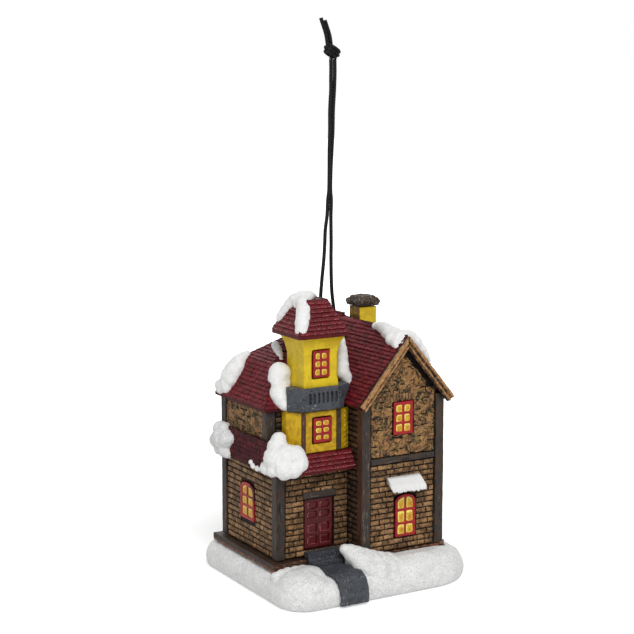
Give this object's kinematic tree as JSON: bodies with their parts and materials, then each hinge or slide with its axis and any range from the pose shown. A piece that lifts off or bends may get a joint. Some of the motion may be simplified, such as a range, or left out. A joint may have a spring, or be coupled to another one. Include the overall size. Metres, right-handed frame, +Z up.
{
  "type": "light-up christmas house",
  "caption": "Two-storey snowy house with a tower, bay, gabled wing and chimney, on a rounded snow base with a lamp module underneath and a cord loop to hang it by.",
  "frame": {"origin": "on the ground, in the middle of the snow base", "axes": "+Z up; the front door and the wing's gable look along -Y; +X to the right seen from the front"},
  "size_m": [0.0613, 0.0554, 0.1512],
  "materials": {
    "snow": "painted cast resin, fine snow texture",
    "slate": "painted cast resin, dark slate with light specks",
    "plinth": "painted cast resin, dark brown with copper highlights",
    "brick": "painted cast resin, tan brick with dark mortar",
    "timber": "painted cast resin, dark weathered timber",
    "window": "moulded insert, red bars over yellow lights",
    "door": "painted cast resin, maroon panels",
    "shingle": "painted cast resin, maroon shingles",
    "yellow": "painted cast resin, mustard yellow boards",
    "barge": "painted cast resin, tan carved boards",
    "cap": "painted cast resin, rough stone",
    "steel": "bright plated",
    "cord": "round dark cord",
    "black_plastic": "satin moulded",
    "board": "green circuit board",
    "led": "clear moulded lamp"
  },
  "bodies": {
    "house": {"snow_base": "snow", "skirt_snow_front": "snow", "skirt_snow_back": "snow", "roof_corner_snow": "snow", "tower_left_snow": "snow", "tower_right_snow": "snow", "tower_roof_snow": "snow", "wing_ridge_snow": "snow", "awning": "snow", "stone_path": "slate", "door_steps": "slate", "balcony": "slate", "plinth": "plinth", "lower_left_wall": "brick", "upper_left_wall": "brick", "door_wall": "brick", "upper_front_wall": "brick", "wing_return_wall": "brick", "wing_lower_wall": "brick", "wing_gable_wall": "brick", "right_wall": "brick", "back_wall": "brick", "front_left_post": "timber", "back_left_post": "timber", "upper_left_post": "timber", "wing_left_post": "timber", "wing_right_post": "timber", "back_right_post": "timber", "wing_beam": "timber", "left_window": "window", "wing_lower_window": "window", "wing_gable_window": "window", "bay_window": "window", "tower_window": "window", "front_door": "door", "skirt_roof_front": "shingle", "skirt_roof_left": "shingle", "main_roof": "shingle", "tower_roof": "shingle", "wing_roof_left": "shingle", "wing_roof_right": "shingle", "bay": "yellow", "tower": "yellow", "chimney": "yellow", "barge_board_left": "barge", "barge_board_right": "barge", "chimney_cap": "cap", "hanging_eye": "steel", "coin_cell": "steel", "cell_clip": "steel", "switch_body": "steel", "hanging_cord_left": "cord", "hanging_cord_right": "cord", "cord_knot": "cord", "module_housing": "black_plastic", "circuit_board": "board", "led_lamp": "led"},
    "knob": {"switch_knob": "black_plastic"},
    "hatch": {"battery_hatch": "black_plastic"},
    "screw": {"hatch_screw": "steel"}
  },
  "joints": [
    {"name": "switch_slide", "type": "slide", "parent": "house", "child": "knob", "axis": [0, 1, 0], "range_m": [0, 0.002]},
    {"name": "hatch_release", "type": "slide", "parent": "house", "child": "hatch", "axis": [0, 0, -1], "range_m": [0, 0.012]},
    {"name": "screw_turn", "type": "hinge", "parent": "hatch", "child": "screw", "pos_m": [0.0076, 0, 0.0005], "axis": [0, 0, 1], "continuous": true}
  ]
}
